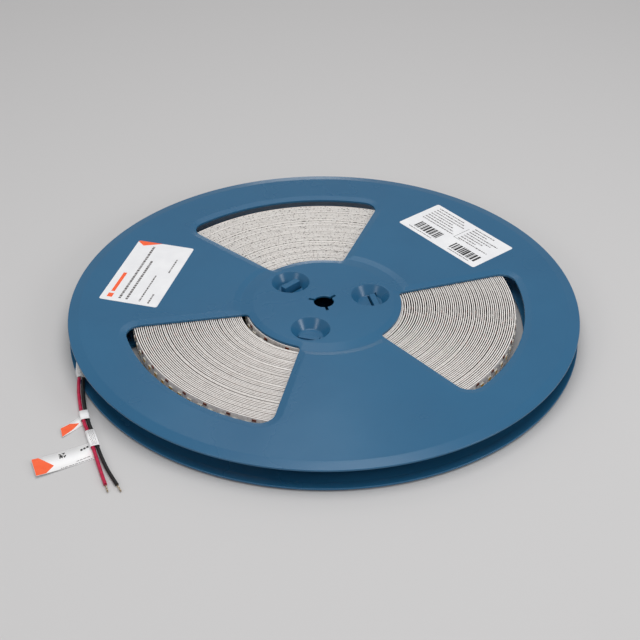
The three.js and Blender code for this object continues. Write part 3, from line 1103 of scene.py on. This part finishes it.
def band_dash(shape, tag, away, across, length, breadth):
    """A dash on the flat top of the band."""
    top = band_core[1] + band_round + paper_sheet / 2
    rows = [[shape.verts.new(flag_place(tag, x, top + lift, y))
             for x, y in [(away, across), (away + length, across),
                          (away + length, across + breadth), (away, across + breadth)]]
            for lift in (0, print_height)]
    for ring in rows:
        shape.faces.new(ring)
    for i in range(4):
        j = (i + 1) % 4
        shape.faces.new([rows[0][i], rows[0][j], rows[1][j], rows[1][i]])


def tail_dash(shape, tag, near, far, breadth):
    """A straight dash on the tail, from one (away, across) point to another."""
    tail_print(shape, tag, [near, far], [(x, y + breadth) for x, y in (near, far)],
               dash_steps)


def ink_piece(name, shape, finish):
    """All the print of one ink as one piece."""
    bmesh.ops.remove_doubles(shape, verts=shape.verts[:], dist=same_place)
    bmesh.ops.recalc_face_normals(shape, faces=shape.faces[:])
    return ride_on_reel(mesh_piece(name, shape, finish), "paper")


orange_ink = toned_finish(
    "orange_ink", srgb(255, 106, 58), srgb(250, 96, 48), 300, 2400, 0.00001, 0.5)
dark_ink = toned_finish(
    "dark_ink", srgb(34, 34, 36), srgb(24, 24, 26), 600, 2400, 0.00001, 0.5)
grey_ink = toned_finish(
    "grey_ink", srgb(116, 112, 112), srgb(88, 84, 84), 900, 2400, 0.00001, 0.5)
bright_paper = toned_finish(
    "bright_paper", srgb(253, 253, 253), srgb(246, 247, 249), 90, 1600, 0.00002, 0.55)
short_flag = paper_flag("short_flag", short_tag, bright_paper)
long_flag = paper_flag("long_flag", long_tag, bright_paper)
ride_on_reel(short_flag, "paper", "lead_tag_short")
ride_on_reel(long_flag, "paper", "lead_tag_long")

pointers = bmesh.new()
tail_print(pointers, short_tag, *short_pointer, pointer_steps)
tail_print(pointers, long_tag, *long_pointer, pointer_steps)
flag_pointers = ink_piece("flag_pointers", pointers, orange_ink)

print_rng = random.Random(11)
dark_print = bmesh.new()
grey_print = bmesh.new()
for column in range(code_cells):
    for row in range(code_cells):
        if print_rng.random() < code_filled:
            away = code_corner[0] + column * code_cell
            across = code_corner[1] + row * code_cell + long_tag["slant"] * column * code_cell
            tail_dash(dark_print, long_tag, (away, across), (away + code_cell, across),
                      code_cell)
for away, across in bold_dashes:
    end = (away + bold_reach[0], across + bold_reach[1])
    tail_dash(dark_print, long_tag, (away, across), end, bold_breadth)
for start, end, across, slope in tail_rows:
    away = start
    while away < end:
        length = print_rng.uniform(*tail_words)
        place = across + slope * (away - start)
        tail_dash(grey_print, long_tag, (away, place), (away + length, place + slope * length),
                  tail_row_breadth)
        away += length + tail_row_gap
for i in range(band_rows):
    away = band_row_ends[0]
    while away < band_row_ends[1]:
        length = print_rng.uniform(*band_words)
        band_dash(grey_print, long_tag, away, band_row_first + band_row_pitch * i, length,
                  band_row_breadth)
        away += length + band_row_gap
flag_code = ink_piece("flag_code", dark_print, dark_ink)
flag_lines = ink_piece("flag_lines", grey_print, grey_ink)


# The stickers: two white paper labels with round corners, pressed flat on the upper flange,
# with rows of small grey print, a plain orange bar and corner on one, bar codes on the other.
sticker_thickness = 0.00017
sticker_corner = 0.0015
sticker_inset = 0.036
# Each sticker: its size, its angle round the reel and how far it is askew.
stickers = {
    "product": ((0.073, 0.040), 164.6, 0.1),
    "barcode": ((0.075, 0.038), 41.8, -2.4),
}
# Each row: left, right, level and breadth, as shares of the label. The blocks and bars after
# them: left, right, low and high.
print_rows = {
    "product": [
        (0.05, 0.93, 0.655, 0.040), (0.05, 0.70, 0.535, 0.040), (0.05, 0.48, 0.32, 0.026),
        (0.04, 0.19, 0.16, 0.030), (0.55, 0.78, 0.145, 0.026),
    ],
    "barcode": [(0.07, 0.48 - 0.04 * (i * 5 % 4), 0.47 + 0.072 * i, 0.024) for i in range(7)]
    + [(0.55, 0.92 - 0.06 * (i * 3 % 4), 0.47 + 0.072 * i, 0.024) for i in range(7)]
    + [(0.10, 0.40, 0.075, 0.018), (0.62, 0.90, 0.075, 0.020)],
}
word_lengths = (0.008, 0.034)
word_gaps = (0.005, 0.009)
bar_widths = [0.005, 0.010, 0.016, 0.024]
bar_gaps = [0.005, 0.008, 0.014]
bar_blocks = [(0.13, 0.43, 0.14, 0.36), (0.605, 0.935, 0.135, 0.34)]
label_frame = [(0.510, 0.514, 0.44, 0.84), (0.510, 0.60, 0.44, 0.447)]
orange_bars = [(0.05, 0.11, 0.81, 0.90), (0.14, 0.45, 0.825, 0.885)]
orange_corner = [(1.0, 0.97), (1.0, 0.57), (0.925, 0.87), (0.985, 1.0)]


def sticker_place(angle, skew, level):
    """A sticker lies with its long side across the reel's radius, a little askew."""
    centre = polar(rim_line_radius - sticker_inset, angle, level)
    turn = math.radians(angle - 90 + skew)
    return Matrix.Translation(centre) @ Matrix.Rotation(turn, 4, "Z")


def sticker_shape(size):
    """A thin sheet with round corners."""
    shape = bmesh.new()
    flat = Matrix.Diagonal((size[0], size[1], 1, 1))
    bmesh.ops.create_grid(shape, x_segments=1, y_segments=1, size=0.5, matrix=flat)
    round_off(shape, shape.verts[:], sticker_corner, "VERTICES", 6)
    made = bmesh.ops.extrude_face_region(shape, geom=shape.faces[:])["geom"]
    top = [v for v in made if isinstance(v, bmesh.types.BMVert)]
    bmesh.ops.translate(shape, verts=top, vec=(0, 0, sticker_thickness))
    bmesh.ops.recalc_face_normals(shape, faces=shape.faces[:])
    return shape


def ink_field(shape, name, corners):
    """A closed film of ink on a label, its corners given as shares of the long and short side."""
    size, angle, skew = stickers[name]
    place = sticker_place(angle, skew, reel_height + sticker_thickness)
    flat = [Vector(((u - 0.5) * size[0], (v - 0.5) * size[1], 0)) for u, v in corners]
    low = [shape.verts.new(place @ p) for p in flat]
    high = [shape.verts.new(place @ (p + Vector((0, 0, print_height)))) for p in flat]
    shape.faces.new(low)
    shape.faces.new(high)
    for i in range(len(flat)):
        j = (i + 1) % len(flat)
        shape.faces.new([low[i], low[j], high[j], high[i]])


def ink_box(shape, name, left, right, low, high):
    """A straight field of ink, its sides given as shares of the label."""
    ink_field(shape, name, [(left, low), (right, low), (right, high), (left, high)])


white_paper = toned_finish(
    "white_paper", srgb(243, 244, 246), srgb(234, 235, 238), 90, 1600, 0.00002, 0.55)
for name, (size, angle, skew) in stickers.items():
    shape = sticker_shape(size)
    bmesh.ops.transform(shape, verts=shape.verts[:],
                        matrix=sticker_place(angle, skew, reel_height))
    label = mesh_piece(f"{name}_label", shape, white_paper)
    ride_on_reel(label, "paper", f"{name}_sticker")

row_print = bmesh.new()
for name, rows in print_rows.items():
    for left, right, level, breadth in rows:
        while left < right:
            length = print_rng.uniform(*word_lengths)
            ink_box(row_print, name, left, min(left + length, right), level, level + breadth)
            left += length + print_rng.uniform(*word_gaps)
code_print = bmesh.new()
for left, right, low, high in bar_blocks:
    while left < right:
        bar = print_rng.choice(bar_widths)
        ink_box(code_print, "barcode", left, min(left + bar, right), low, high)
        left += bar + print_rng.choice(bar_gaps)
for frame_line in label_frame:
    ink_box(code_print, "barcode", *frame_line)
orange_print = bmesh.new()
for bar in orange_bars:
    ink_box(orange_print, "product", *bar)
ink_field(orange_print, "product", orange_corner)
ink_piece("label_lines", row_print, grey_ink)
ink_piece("label_bar_codes", code_print, dark_ink)
ink_piece("label_orange", orange_print, orange_ink)


# The two leads are soldered in the sleeve and lie loose from there to their bare far ends. The
# pieces that go with each lead are gathered in a list: its tip, and on the red one the flags and
# their print.
for name, (wire, tip, points) in leads.items():
    carried = [tip]
    if name == "red":
        carried += [short_flag, long_flag, flag_pointers, flag_code, flag_lines]

low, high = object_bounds()
